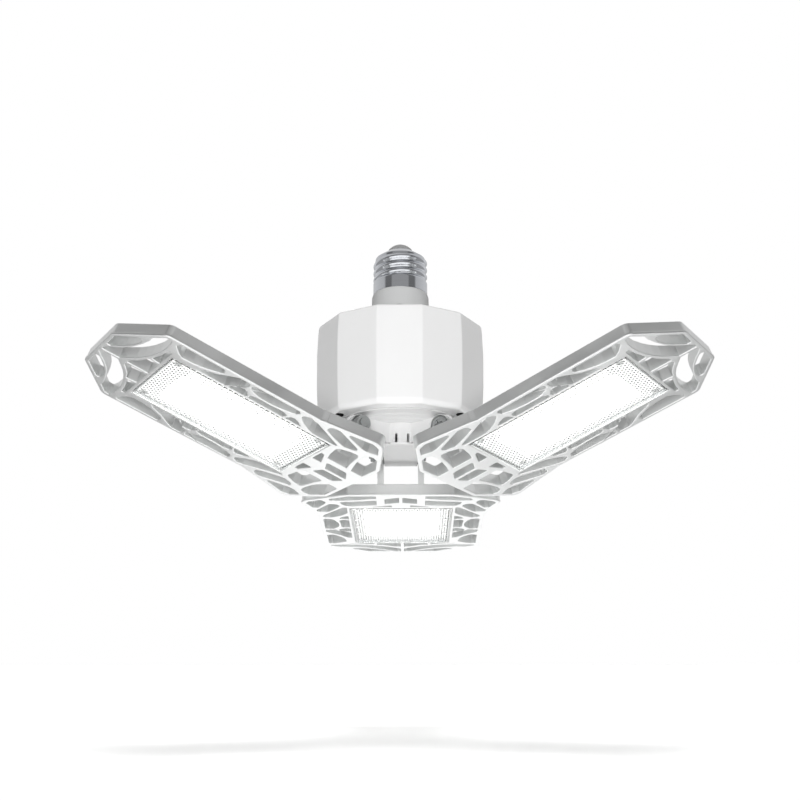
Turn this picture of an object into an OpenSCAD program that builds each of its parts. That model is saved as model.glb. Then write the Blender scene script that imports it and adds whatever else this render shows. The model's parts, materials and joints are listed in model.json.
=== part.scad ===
// Ceiling light with a screw base and three LED panels that fold on friction hinges.
// Millimetres, +Z up. The origin lies on the base's axis, at the lower rim of its screw shell.
// The light hangs below the origin; a panel's own frame has X outward, Y along its hinge and Z up.

/* [Screw base] */
// Radius of the shell over its thread crests and its plain sleeve
shell_r = 13; // [12:0.1:14]
// Height of the plain sleeve below the thread
sleeve_h = 5.8; // [4:0.1:8]
// Rise of the thread in one turn
thread_pitch = 3.63; // [3:0.01:4.2]
// Number of thread crests
thread_turns = 3; // [2:1:5]
// Depth of the rolled thread
thread_depth = 0.8; // [0.4:0.1:1]
// Thickness of the shell's sheet metal
shell_wall = 0.5; // [0.3:0.1:0.8]
// Height of the shell's domed shoulder above the thread
shoulder_h = 4.5; // [3:0.1:7]
// Radius of the insulator where it leaves the shell
insulator_r = 6.2; // [5:0.1:8]
// Height of the insulator above the shell
insulator_h = 1.4; // [1:0.1:3]
// Radius of the centre contact
contact_r = 5.3; // [3:0.1:5.4]
// Height of the centre contact's dome
contact_h = 2.4; // [1.5:0.1:4]

/* [Collar] */
// Height of the collar between the shell and the housing
collar_h = 19; // [12:0.5:30]
// Radius of the collar at its top
collar_top_r = 13.1; // [13:0.1:16]
// Radius of the collar where it meets the housing
collar_low_r = 13.8; // [13.5:0.1:18]
// Height of the short cone at the collar's top
collar_cone_h = 1.6; // [0.8:0.1:4]
// Radius of the wire way through the collar
wire_way_r = 9.5; // [6:0.1:10]

/* [Housing] */
// Greatest radius of the housing, over its corners
housing_r = 40.2; // [38:0.1:44]
// Height of the housing
housing_h = 47; // [40:0.5:70]
// Radius of the housing's inside, over its corners
cavity_r = 36.9; // [36.5:0.1:37.2]
// Thickness of the housing's floor
floor_t = 2.4; // [1.6:0.1:4]
// Thickness of the cover that closes the housing's top
cover_t = 2.4; // [1.6:0.1:4]
// Distance from the axis to the screws of the top cover
cover_screw_at = 31.4; // [31:0.1:31.6]

/* [Hub] */
// Radius of the first step under the housing
step_r = 31; // [28:0.1:31.4]
// Height of each step under the housing
step_h = 0.5; // [0.3:0.05:0.6]
// Radius of the neck that carries the hinge lugs
neck_r = 13; // [11:0.1:15]
// Depth of the neck below the housing
neck_h = 11.75; // [11.5:0.05:14]
// Width of the vent slots in the neck
slot_w = 1.1; // [0.8:0.1:2]
// Height of the vent slots in the neck
slot_h = 4.2; // [2:0.1:5]

/* [Hinges] */
// Distance from the axis to each hinge pin
hinge_at = 27; // [26:0.1:29]
// Depth of the hinge pins below the housing
hinge_drop = 5.6; // [5.5:0.1:8]
// Radius of the round end of each hub lug
lug_r = 5.7; // [5:0.1:5.8]
// Width of each hub lug along its hinge
lug_w = 16; // [12:0.1:18]
// Radius of the round top of each panel ear
ear_r = 4.7; // [4.5:0.1:4.8]
// Thickness of each panel ear
ear_t = 2.9; // [2.6:0.1:3.4]
// Thickness of the friction washers
washer_t = 0.3; // [0.2:0.05:0.6]
// Radius of the hinge screw's shank
pin_r = 2; // [1.5:0.05:2.2]
// Depth of the round recess in each ear's outer face
recess_t = 1.2; // [0.8:0.1:1.5]
// Angle of the left and right panels above the level
side_tilt = 20; // [0:1:90]
// Angle of the back panel above the level
back_tilt = 0; // [0:1:90]

/* [Panels] */
// Distance from the hinge pin down to the light's face
face_drop = 23.1; // [20:0.1:26]
// Depth of the panel casting from face to back
rim_h = 5.8; // [5:0.1:8]
// Thickness of the panel's rim wall
rim_t = 1.6; // [1.2:0.1:2.4]
// Height of the bead along the rim's front edge
bead_h = 1.1; // [0.6:0.1:2]
// Distance that the bead stands out from the rim
bead_out = 0.3; // [0.1:0.05:0.6]
// Reach of the panel from the hinge inward, under the hub
panel_in = 10.2; // [9:0.05:12]
// Distance from the lens cover to the panel's outer end
end_reach = 25.5; // [22:0.1:40]
// Distance from the hinge out to the shoulders
shoulder_at = 1.2; // [0:0.1:4]
// Distance from the hinge out to the foot of the flare
flare_at = 28.4; // [26:0.1:34]
// Length of the short facet at the foot of the flare
facet_len = 2.6; // [1:0.1:4]
// Distance from the lens cover to the start of the end chamfer
chamfer_reach = 8.9; // [7:0.1:12]
// Width of the panel at its inner end
inner_w = 51; // [44:0.1:54]
// Width of the panel over its shoulders
shoulder_w = 96.6; // [92:0.1:97]
// Width of the panel at the foot of the flare
waist_w = 82; // [78:0.1:86]
// Width of the panel where the end chamfer starts
side_w = 82.8; // [76:0.1:84]
// Width of the panel at its outer end
end_w = 35.5; // [30:0.1:44]
// Width of the rib along the panel's middle
mid_rib_w = 1.8; // [1.2:0.1:3]
// Radius of the panel's corners
corner_r = 4; // [2:0.5:6]
// Radius in the corners of the web's openings
web_r = 0.7; // [0.5:0.1:1.6]

/* [Light windows] */
// Distance from the hinge out to the lens cover
lens_at = 15.3; // [15:0.1:17]
// Length of the lens cover
lens_len = 77.9; // [70:0.1:90]
// Width of the lens cover
lens_w = 50.2; // [44:0.1:52]
// Thickness of the lens cover's face
lens_t = 1.2; // [0.8:0.1:1.4]
// Distance that the lens cover stands proud of the panel's face
lens_proud = 0.15; // [0:0.05:0.4]
// Thickness of the skirt round the lens cover
skirt_t = 1; // [0.8:0.1:1.6]
// Depth of the pocket that holds the lens cover and the LED board
pocket_h = 3.1; // [2.9:0.1:3.4]
// Thickness of the wall along each side of the pocket
pocket_side_t = 1.4; // [1:0.1:2]
// Thickness of the wall at the pocket's inner end
pocket_in_t = 1.2; // [1:0.1:3]
// Thickness of the wall at the pocket's outer end
pocket_out_t = 1.6; // [1.2:0.1:5]
// Depth of the cooling grooves in the panel's back
groove_h = 1.3; // [0.8:0.1:1.6]
// Number of cooling grooves in the panel's back
groove_count = 9; // [5:2:13]
// Width of the cooling fins between the grooves
fin_w = 1.6; // [1.2:0.1:2.4]
// Thickness of the LED board
board_t = 1; // [0.8:0.1:1.2]
// LED packages along the board
led_rows = 8; // [4:1:10]
// LED packages across the board
led_columns = 5; // [3:1:6]
// Side of one LED package
led_side = 3; // [2:0.1:3.5]
// Height of one LED package
led_h = 0.6; // [0.4:0.05:0.7]

/* [Driver] */
// Radius of the driver board
driver_r = 27.6; // [26:0.1:27.8]
// Thickness of the driver board
driver_t = 1.6; // [1:0.1:2]
// Height of the posts under the driver board
post_h = 6; // [5:0.5:10]
// Length of the transformer
transformer_len = 20; // [16:0.5:22]
// Width of the transformer
transformer_w = 16; // [12:0.5:18]
// Height of the transformer
transformer_h = 17; // [14:0.5:20]
// Radius of the large capacitor
capacitor_r = 6.2; // [4:0.1:6.5]
// Height of the large capacitor
capacitor_h = 20; // [12:0.5:24]

/* [Hidden] */

// Small clearances and the overrun of every cut
fit_gap = 0.05;
seat_gap = 0.15;
overrun = 1;
$fn = 64;

// Levels below the origin
housing_top_z = -collar_h;
cover_low_z = housing_top_z - cover_t;
floor_z = housing_top_z - housing_h;
floor_top_z = floor_z + floor_t;
driver_z = floor_top_z + post_h;
hinge_z = floor_z - hinge_drop;

// Places round the axis
lug_angles = [90, 210, 330];
gap_angles = [30, 150, 270];
back = [lug_angles[0], back_tilt];
left = [lug_angles[1], side_tilt];
right = [lug_angles[2], side_tilt];

// Screws of the covers and boards, and the heads that all pan head screws share
screw_r = 1.5;
screw_head_r = 2.7;
screw_head_h = 1.7;
screw_len = 8;
pilot_r = screw_r + fit_gap;
head_edge_share = 0.6;
head_top_share = 0.75;
cross_share = 0.2;

// Screw base
root_r = shell_r - thread_depth;
thread_z = sleeve_h + 2 * thread_depth;
thread_top_z = thread_z + thread_turns * thread_pitch;
shell_top_z = thread_top_z + shoulder_h;
insulator_slope_share = 0.5;
insulator_top_r = insulator_r - insulator_h * insulator_slope_share;
core_h = sleeve_h;
steps_per_turn = 12;
shoulder_steps = 8;

// Collar and housing
flange_out = 3.6;
flange_t = 2;
collar_taper = 0.2;
collar_fit_r = collar_low_r + fit_gap;
housing_sides = 12;
boss_r = 3;
boss_rib_t = 1.6;
grommet_at = 33.8;
grommet_r = 1.5;
grommet_half = 3.8;
grommet_lip = 0.4;
housing_turn = 180 / housing_sides;
housing_profile_shares = [
    [0, 0.93], [0.012, 0.955], [0.045, 0.978], [0.35, 0.995], [0.68, 1],
    [0.9, 0.99], [0.972, 0.982], [0.992, 0.97], [1, 0.952]
];

// Hub
step_r_shares = [1, 0.77, 0.61];
neck_wall = 3.4;
neck_floor = 0.95;
neck_edge = 0.8;
slot_low = 0.85;
slot_turns = [-8, 17];
hub_screw_at = 19;

// Driver
post_r = 2.55;
post_at = driver_r - 2 * post_r;
can_edge_share = 0.2;
can_top_share = 0.85;
supply_wire_r = 0.9;
lead_r = 0.7;

// Hinge parts along the pin
ear_in = lug_w / 2 + washer_t;
ear_out = ear_in + ear_t;
recess_w = ear_out - recess_t;
recess_r = ear_r - 0.5;
lug_bore_r = pin_r + fit_gap;
head_r = recess_r - 0.4;
head_h = 2.2;
nut_side = 7;
nut_h = 4.6;
nut_ring_h = 1.4;
nut_corner_r = nut_side / sqrt(3);
pin_end = 0.8;
cross_w = 0.9;
cross_len = 4.2;
cross_h = 1.2;

// Levels of the light window in a panel's frame
face_z = -face_drop;
back_z = face_z + rim_h;
pocket_z = face_z + pocket_h;
plate_t = rim_h - pocket_h - groove_h;
lens_z = face_z - lens_proud;
board_z = pocket_z - board_t;
lens_corner_r = 1.2;
lens_out = lens_at + lens_len;
chamfer_at = lens_out + chamfer_reach;
panel_out = lens_out + end_reach;
board_gap = 0.3;
board_in = lens_at + skirt_t + board_gap;
board_len = lens_len - 2 * (skirt_t + board_gap);
board_w = lens_w - 2 * (skirt_t + board_gap);
board_screw_inset = 3;
board_screw_r = 1;
board_head_r = 1.8;
board_head_h = 0.7;
led_inset = 10;
gate_r = 0.9;
gate_h = 0.3;
gate_inset = 2.7;
gate_shares = [0.31, 0.51, 0.72];

// Bays of the web: side of the pocket, inner end and outer end
bay_in = lens_at - seat_gap - pocket_in_t;
bay_out = lens_out + seat_gap + pocket_out_t;
bay_side = lens_w / 2 + seat_gap + pocket_side_t;

// Half outline of a panel from its inner end to its outer end
half_outline = [
    [-panel_in, inner_w / 2],
    [shoulder_at, shoulder_w / 2],
    [flare_at - facet_len, waist_w / 2 + facet_len / 3],
    [flare_at, waist_w / 2],
    [chamfer_at, side_w / 2],
    [panel_out, end_w / 2]
];

// Openings beside the pocket: share of its length, share of the bay's width
side_opening_shares = [
    [[0.005, 0.98], [0, 0.85], [-0.05, 0.69], [-0.11, 0.53], [-0.145, 0.49], [-0.18, 0.77], [-0.195, 1],
        [-0.16, 1], [-0.12, 1]],
    [[-0.1, 0.33], [-0.085, 0.24], [-0.045, 0.18], [-0.01, 0.25], [0.05, 0.43], [0.11, 0.69], [0.11, 0.9],
        [0.095, 1], [0.06, 0.98], [-0.015, 0.69], [-0.095, 0.43]],
    [[-0.01, 0.1], [-0.005, 0], [0.13, 0], [0.165, 0.09], [0.215, 0.34], [0.245, 0.56], [0.26, 0.72],
        [0.255, 0.87], [0.225, 1], [0.19, 0.94], [0.12, 0.59], [0.045, 0.28]],
    [[0.205, 0], [0.315, 0], [0.295, 0.32], [0.275, 0.36], [0.24, 0.23]],
    [[0.32, 0.17], [0.33, 0], [0.535, 0], [0.54, 0.24], [0.51, 0.34], [0.415, 0.35], [0.36, 0.39],
        [0.325, 0.33]],
    [[0.295, 1], [0.285, 0.89], [0.295, 0.68], [0.33, 0.57], [0.38, 0.48], [0.425, 0.43], [0.475, 0.43],
        [0.52, 0.49], [0.555, 0.63], [0.575, 0.82], [0.57, 1]],
    [[0.55, 0.13], [0.56, 0], [0.66, 0], [0.65, 0.17], [0.62, 0.44], [0.59, 0.46], [0.57, 0.4]],
    [[0.595, 1], [0.59, 0.75], [0.6, 0.56], [0.63, 0.37], [0.66, 0.17], [0.68, 0], [0.85, 0], [0.83, 0.16],
        [0.8, 0.29], [0.755, 0.44], [0.72, 0.66], [0.68, 0.89], [0.655, 1]],
    [[0.745, 1], [0.735, 0.78], [0.75, 0.66], [0.785, 0.51], [0.835, 0.36], [0.885, 0.28], [0.945, 0.26],
        [0.975, 0.45], [1, 0.68], [1.015, 0.84], [1.005, 1]]
];

// Openings at the inner end: share from rim to pocket, share of the half width
inner_opening_shares = [
    [[0, 0.24], [0, 0.53], [0, 0.72], [0.1, 0.74], [0.25, 0.71], [0.35, 0.62], [0.36, 0.46],
        [0.29, 0.32], [0.24, 0.24]],
    [[0.36, 0.24], [0.79, 0.24], [0.85, 0.35], [0.89, 0.51], [0.85, 0.56], [0.66, 0.61], [0.47, 0.63],
        [0.45, 0.58], [0.45, 0.47], [0.42, 0.37]],
    [[0.11, 0], [0.24, 0.14], [0.28, 0.15], [0.66, 0.15], [0.69, 0.13], [0.59, 0]],
    [[0.98, 0.08], [0.98, 0.29], [0.92, 0.28], [0.78, 0.08]]
];

// Openings at the outer end: share from pocket to rim, share of the half width
outer_opening_shares = [
    [[1, 0.16], [1, 0.42], [1, 0.68], [0.88, 0.68], [0.76, 0.62], [0.69, 0.55], [0.66, 0.45], [0.72, 0.34],
        [0.82, 0.25], [0.92, 0.17]],
    [[1, 0], [1, 0.05], [0.89, 0.14], [0.77, 0.23], [0.65, 0.35], [0.6, 0.44], [0.65, 0.59], [0.77, 0.74],
        [0.95, 0.83], [0.97, 0.98], [0.68, 1], [0.37, 0.88], [0.26, 0.75], [0.22, 0.6], [0.24, 0.43],
        [0.31, 0.31], [0.4, 0.2], [0.51, 0.1], [0.63, 0]],
    [[0, 0], [0.47, 0], [0.44, 0.06], [0.35, 0.14], [0.27, 0.23], [0.22, 0.34], [0, 0.32]],
    [[0, 0.36], [0.18, 0.38], [0.15, 0.48], [0.12, 0.59], [0.11, 0.75], [0, 0.72]]
];

// Geometry in the plane

function unit(v) = v / norm(v);

// Place where the line through p along r meets the line through q along s
function meet(p, r, q, s) = p + r * cross(q - p, s) / cross(r, s);

// Both halves of an outline that is given from inner end to outer end
function mirrored(half) = concat(half, [for (i = [len(half) - 1:-1:0]) [half[i].x, -half[i].y]]);

// An outline given clockwise, moved inward by d on every side
function inset(pts, d) = [
    for (i = [0:len(pts) - 1])
        let (
            a = pts[(i + len(pts) - 1) % len(pts)],
            b = pts[i],
            c = pts[(i + 1) % len(pts)],
            r = unit(b - a),
            s = unit(c - b)
        )
        meet(b + d * [r.y, -r.x], r, b + d * [s.y, -s.x], s)
];

// The arc that rounds corner b between its neighbours a and c
corner_steps = 2;
outline_steps = 5;
function corner(a, b, c, r, steps) =
    let (
        u = unit(a - b),
        v = unit(c - b),
        half = acos(u * v) / 2,
        cut = min(r / tan(half), norm(a - b) / 2.1, norm(c - b) / 2.1),
        centre = b + unit(u + v) * cut / cos(half),
        from = b + u * cut - centre,
        start = atan2(from.y, from.x),
        turn = 180 - 2 * half,
        side = cross(u, v) < 0 ? 1 : -1
    )
    [for (i = [0:steps]) centre + norm(from) * [cos(start + side * turn * i / steps),
        sin(start + side * turn * i / steps)]];

function rounded(pts, r, steps = corner_steps) = [
    for (i = [0:len(pts) - 1])
        each corner(pts[(i + len(pts) - 1) % len(pts)], pts[i], pts[(i + 1) % len(pts)], r, steps)
];

// Inner line of the rim, and where it runs at a given place along or across the panel
outline = mirrored(half_outline);
rim_line = inset(outline, rim_t);
rim_half = [for (i = [0:len(half_outline) - 1]) rim_line[i]];
function rim_y(x) = lookup(x, rim_half);
function rim_in_x(y) = lookup(y, [[rim_half[0].y, rim_half[0].x], [rim_half[1].y, rim_half[1].x]]);
function rim_out_x(y) = lookup(y, [[rim_half[5].y, rim_half[5].x], [rim_half[4].y, rim_half[4].x]]);

// A point of each bay from its two shares
function side_point(p) =
    let (x = bay_in + p.x * (bay_out - bay_in)) [x, bay_side + p.y * (rim_y(x) - bay_side)];
function across(share, edge_y) = mid_rib_w / 2 + share * (edge_y - mid_rib_w / 2);
function inner_point(p) =
    let (y = across(p.y, rim_half[1].y)) [rim_in_x(y) + p.x * (bay_in - rim_in_x(y)), y];
function outer_point(p) =
    let (y = across(p.y, rim_half[4].y)) [bay_out + p.x * (rim_out_x(y) - bay_out), y];

openings = [
    for (shape = side_opening_shares) rounded([for (p = shape) side_point(p)], web_r),
    for (shape = inner_opening_shares) rounded([for (p = shape) inner_point(p)], web_r),
    for (shape = outer_opening_shares) rounded([for (p = shape) outer_point(p)], web_r)
];

// Shared shapes

module round_rect(x, y, r) {
    polygon(rounded([[-x / 2, -y / 2], [-x / 2, y / 2], [x / 2, y / 2], [x / 2, -y / 2]], r, outline_steps));
}

// A flat slot with round ends along Y
module slot_plate(r, half, h) {
    linear_extrude(h) {
        square([2 * r, 2 * half], center = true);
        for (side = [-1, 1]) translate([0, side * half]) circle(r);
    }
}

module around(angles, distance) {
    for (a = angles) rotate([0, 0, a]) translate([distance, 0, 0]) children();
}

// A pan head screw standing on the XY plane: its head above, its shank below
module pan_screw(shank_r, len, pan_r, pan_h) {
    edge_h = pan_h * head_edge_share;
    difference() {
        union() {
            cylinder(h = edge_h, r = pan_r);
            translate([0, 0, edge_h]) cylinder(h = pan_h - edge_h, r1 = pan_r, r2 = pan_r * head_top_share);
            translate([0, 0, -len]) cylinder(h = len + pan_h / 2, r = shank_r);
        }
        for (a = [0, 90]) rotate([0, 0, a]) translate([0, 0, pan_h])
            cube([pan_r, pan_r * cross_share, pan_h], center = true);
    }
}

// A straight wire from a to b
module wire_run(a, b, r) {
    v = b - a;
    translate(a) rotate([0, acos(v.z / norm(v)), atan2(v.y, v.x)]) cylinder(h = norm(v), r = r);
}

// A wire through a list of points, round at its bends
module wire(points, r) {
    for (i = [0:len(points) - 2]) wire_run(points[i], points[i + 1], r);
    for (i = [1:1:len(points) - 2]) translate(points[i]) sphere(r);
}

// A cylinder along Y between two places
module pin_y(from, to, r) {
    translate([0, from, 0]) rotate([-90, 0, 0]) cylinder(h = to - from, r = r);
}

// A panel's frame in place: panel is its angle round the axis and its tilt
module at_panel(panel) {
    rotate([0, 0, panel[0]]) translate([hinge_at, 0, hinge_z]) rotate([0, -panel[1], 0]) children();
}

// Screw base and collar

module centre_contact() {
    stem_r = contact_r / 3;
    dome_r = (contact_r * contact_r + contact_h * contact_h) / (2 * contact_h);
    contact_z = shell_top_z + insulator_h;
    color("silver") union() {
        intersection() {
            translate([0, 0, contact_z + contact_h - dome_r]) sphere(dome_r);
            translate([0, 0, contact_z]) cylinder(h = contact_h, r = contact_r);
        }
        translate([0, 0, thread_top_z]) cylinder(h = contact_z - thread_top_z + contact_h / 2, r = stem_r);
    }
}

module contact_insulator() {
    bore_r = contact_r / 3 + fit_gap;
    color("gainsboro") difference() {
        union() {
            translate([0, 0, shell_top_z]) cylinder(h = insulator_h, r1 = insulator_r, r2 = insulator_top_r);
            translate([0, 0, thread_top_z + shell_wall])
                cylinder(h = shell_top_z - thread_top_z - shell_wall, r = insulator_r - shell_wall);
        }
        translate([0, 0, thread_top_z]) cylinder(h = shell_top_z + insulator_h, r = bore_r);
    }
}

module screw_shell() {
    thread = [
        for (i = [0:thread_turns * steps_per_turn])
            let (turn = i / steps_per_turn)
            [root_r + thread_depth * (1 - cos(360 * turn)) / 2, thread_z + turn * thread_pitch]
    ];
    shoulder = [
        for (i = [1:shoulder_steps])
            let (a = 90 * i / shoulder_steps)
            [insulator_r + (root_r - insulator_r) * cos(a), thread_top_z + shoulder_h * sin(a)]
    ];
    inside = [
        for (i = [shoulder_steps:-1:0])
            let (a = 90 * i / shoulder_steps)
            [insulator_r - shell_wall + (root_r - insulator_r) * cos(a),
                thread_top_z + (shoulder_h - shell_wall) * sin(a)]
    ];
    color("silver") rotate_extrude() polygon(concat(
        [[shell_r - shell_wall, 0], [shell_r, 0], [shell_r, sleeve_h], [root_r, sleeve_h + thread_depth]],
        thread, shoulder, inside,
        [[root_r - shell_wall, sleeve_h + thread_depth], [shell_r - shell_wall, sleeve_h]]
    ));
}

module base_collar() {
    core_r = shell_r - shell_wall - fit_gap;
    flange_r = collar_low_r + flange_out;
    color("lightgray") rotate_extrude() polygon([
        [wire_way_r, core_h], [core_r, core_h], [core_r, 0], [collar_top_r, 0],
        [collar_low_r - collar_taper, -collar_cone_h], [collar_low_r, housing_top_z],
        [collar_low_r, cover_low_z],
        [flange_r, cover_low_z], [flange_r, cover_low_z - flange_t], [wire_way_r, cover_low_z - flange_t]
    ]);
}

// Housing

module twelve_sided(profile) {
    rotate([0, 0, housing_turn]) rotate_extrude($fn = housing_sides) polygon(profile);
}

module sided_plate(r, h) {
    rotate([0, 0, housing_turn]) cylinder(h = h, r = r, $fn = housing_sides);
}

module housing() {
    boss_z = floor_z + floor_t / 2;
    boss_rib_len = cavity_r * cos(housing_turn) + seat_gap - cover_screw_at;
    color("white") difference() {
        union() {
            difference() {
                translate([0, 0, floor_z]) twelve_sided(concat(
                    [[0, 0]],
                    [for (p = housing_profile_shares) [p.y * housing_r, p.x * housing_h]],
                    [[0, housing_h]]
                ));
                translate([0, 0, floor_top_z]) sided_plate(cavity_r, housing_h);
            }
            around(gap_angles, cover_screw_at) translate([0, 0, boss_z]) {
                cylinder(h = cover_low_z - boss_z, r = boss_r);
                translate([0, -boss_rib_t / 2, 0]) cube([boss_rib_len, boss_rib_t, cover_low_z - boss_z]);
            }
            around(gap_angles, post_at) translate([0, 0, boss_z])
                cylinder(h = driver_z - boss_z, r = post_r);
        }
        translate([0, 0, floor_z - overrun]) cylinder(h = floor_t + 2 * overrun, r = neck_r - neck_wall);
        around(gap_angles, cover_screw_at) translate([0, 0, cover_low_z - screw_len])
            cylinder(h = screw_len + overrun, r = pilot_r);
        around(gap_angles, post_at) translate([0, 0, floor_top_z + overrun])
            cylinder(h = post_h, r = pilot_r);
        around(lug_angles, hub_screw_at) translate([0, 0, floor_z - overrun])
            cylinder(h = floor_t + 2 * overrun, r = pilot_r);
        around(lug_angles, grommet_at) translate([0, 0, floor_z - overrun])
            slot_plate(grommet_r + fit_gap, grommet_half, floor_t + 2 * overrun);
    }
}

module top_cover() {
    color("white") difference() {
        translate([0, 0, cover_low_z]) sided_plate(cavity_r - seat_gap, cover_t);
        translate([0, 0, cover_low_z - overrun]) cylinder(h = cover_t + 2 * overrun, r = collar_fit_r);
        around(gap_angles, cover_screw_at) translate([0, 0, cover_low_z - overrun])
            cylinder(h = cover_t + 2 * overrun, r = pilot_r);
    }
}

module top_cover_screws() {
    color("silver") around(gap_angles, cover_screw_at) translate([0, 0, housing_top_z])
        pan_screw(screw_r, screw_len, screw_head_r, screw_head_h);
}

module cable_grommets() {
    color("black") around(lug_angles, grommet_at) difference() {
        union() {
            translate([0, 0, floor_z - grommet_lip])
                slot_plate(grommet_r + grommet_lip, grommet_half, grommet_lip);
            translate([0, 0, floor_z]) slot_plate(grommet_r, grommet_half, floor_t + grommet_lip);
        }
        translate([0, 0, floor_z + floor_t / 2]) slot_plate(grommet_r / 2, grommet_half / 2, floor_t);
    }
}

// Hub

module hub() {
    lug_box = [hinge_at + lug_r, lug_w, lug_r + hinge_drop];
    color("white") difference() {
        union() {
            for (i = [0:len(step_r_shares) - 1])
                translate([0, 0, floor_z - (i + 1) * step_h])
                    cylinder(h = (i + 1) * step_h, r = step_r * step_r_shares[i], $fn = 128);
            translate([0, 0, floor_z - neck_h])
                cylinder(h = neck_edge, r1 = neck_r - neck_edge, r2 = neck_r);
            translate([0, 0, floor_z - neck_h + neck_edge])
                cylinder(h = neck_h - neck_edge, r = neck_r);
            for (a = lug_angles) rotate([0, 0, a]) {
                translate([0, -lug_w / 2, hinge_z - lug_r]) cube([hinge_at, lug_w, lug_box.z]);
                intersection() {
                    translate([hinge_at, 0, hinge_z]) pin_y(-lug_w / 2, lug_w / 2, lug_r);
                    translate([0, -lug_w / 2, hinge_z - lug_r]) cube(lug_box);
                }
            }
        }
        translate([0, 0, floor_z - neck_h + neck_floor]) cylinder(h = neck_h, r = neck_r - neck_wall);
        for (a = lug_angles) rotate([0, 0, a]) {
            translate([hinge_at, 0, hinge_z]) pin_y(-lug_w, lug_w, lug_bore_r);
            translate([hub_screw_at, 0, floor_z - screw_len])
                cylinder(h = screw_len + overrun, r = pilot_r);
        }
        for (a = gap_angles, turn = slot_turns) rotate([0, 0, a + turn])
            translate([neck_r - neck_wall - overrun, -slot_w / 2, floor_z - neck_h + slot_low])
                cube([neck_wall + 2 * overrun, slot_w, slot_h]);
    }
}

module hub_screws() {
    color("silver") around(lug_angles, hub_screw_at) translate([0, 0, floor_top_z])
        pan_screw(screw_r, screw_len, screw_head_r, screw_head_h);
}

// Driver inside the housing

module driver_board() {
    color("darkgreen") translate([0, 0, driver_z]) difference() {
        cylinder(h = driver_t, r = driver_r);
        around(gap_angles, post_at) translate([0, 0, -overrun])
            cylinder(h = driver_t + 2 * overrun, r = pilot_r);
    }
}

module driver_screws() {
    color("silver") around(gap_angles, post_at) translate([0, 0, driver_z + driver_t])
        pan_screw(screw_r, post_h, screw_head_r, screw_head_h);
}

module at_driver(x, y) {
    translate([x, y, driver_z + driver_t]) children();
}

module transformer_core() {
    leg = transformer_len / 6;
    color("dimgray") at_driver(-transformer_len / 3, 0) difference() {
        translate([-transformer_len / 2, -transformer_w / 2, 0])
            cube([transformer_len, transformer_w, transformer_h]);
        translate([-transformer_len / 2 + leg, -transformer_w, leg])
            cube([transformer_len - 2 * leg, 2 * transformer_w, transformer_h - 2 * leg]);
    }
}

module transformer_winding() {
    leg = transformer_len / 6;
    winding_h = transformer_h - 2 * leg;
    color("gold") at_driver(-transformer_len / 3, 0) translate([0, 0, leg])
        linear_extrude(winding_h) round_rect(transformer_len - 2 * leg - seat_gap, transformer_w + leg, leg);
}

module capacitor(r, h) {
    edge_h = r * can_edge_share;
    cylinder(h = h - edge_h, r = r);
    translate([0, 0, h - edge_h]) cylinder(h = edge_h, r1 = r, r2 = r * can_top_share);
}

module capacitors() {
    color("darkslategray") {
        at_driver(capacitor_r * 1.3, capacitor_r * 2.4) capacitor(capacitor_r, capacitor_h);
        at_driver(capacitor_r * 2, -capacitor_r * 1.1) capacitor(capacitor_r * 0.7, capacitor_h * 0.7);
    }
}

module driver_chips() {
    chip = capacitor_r;
    color("black") {
        at_driver(-transformer_len / 3, transformer_w) cube([chip, chip, chip / 2]);
        at_driver(-transformer_len * 0.7, -transformer_w - chip) cube([chip * 1.5, chip, chip]);
    }
}

module choke() {
    ring_r = capacitor_r * 0.65;
    color("peru") at_driver(capacitor_r * 1.4, -capacitor_r * 2.8) translate([0, 0, ring_r / 2])
        rotate_extrude() translate([ring_r, 0]) circle(ring_r / 2);
}

module supply_wires() {
    board_top_z = driver_z + driver_t;
    side_x = wire_way_r - 2 * supply_wire_r;
    shell_y = -3 * supply_wire_r;
    shell_z = core_h + 2 * supply_wire_r;
    shell_x = sqrt(pow(root_r - shell_wall, 2) - pow(shell_y - supply_wire_r, 2)) - fit_gap;
    color("firebrick") wire([
        [side_x, 0, board_top_z], [side_x, 0, thread_top_z - 3 * supply_wire_r],
        [0, 0, thread_top_z - 3 * supply_wire_r], [0, 0, thread_top_z]
    ], supply_wire_r);
    color("black") wire([
        [side_x, shell_y, board_top_z], [side_x, shell_y, shell_z], [shell_x, shell_y, shell_z]
    ], supply_wire_r);
}

module panel_leads() {
    color("black") for (a = lug_angles) rotate([0, 0, a]) wire([
        [grommet_at, 0, floor_z + floor_t / 2], [grommet_at, 0, driver_z - post_h / 2],
        [driver_r - 2 * lead_r, 0, driver_z - post_h / 2], [driver_r - 2 * lead_r, 0, driver_z]
    ], lead_r);
}

// Panels, each in its own frame

module web() {
    difference() {
        polygon(rounded(outline, corner_r, outline_steps));
        for (shape = openings, side = [0, 1]) mirror([0, side]) polygon(shape);
    }
}

module ear_profile() {
    circle(ear_r);
    translate([-ear_r, back_z - rim_h / 2]) square([2 * ear_r, -back_z + rim_h / 2]);
}

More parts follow.
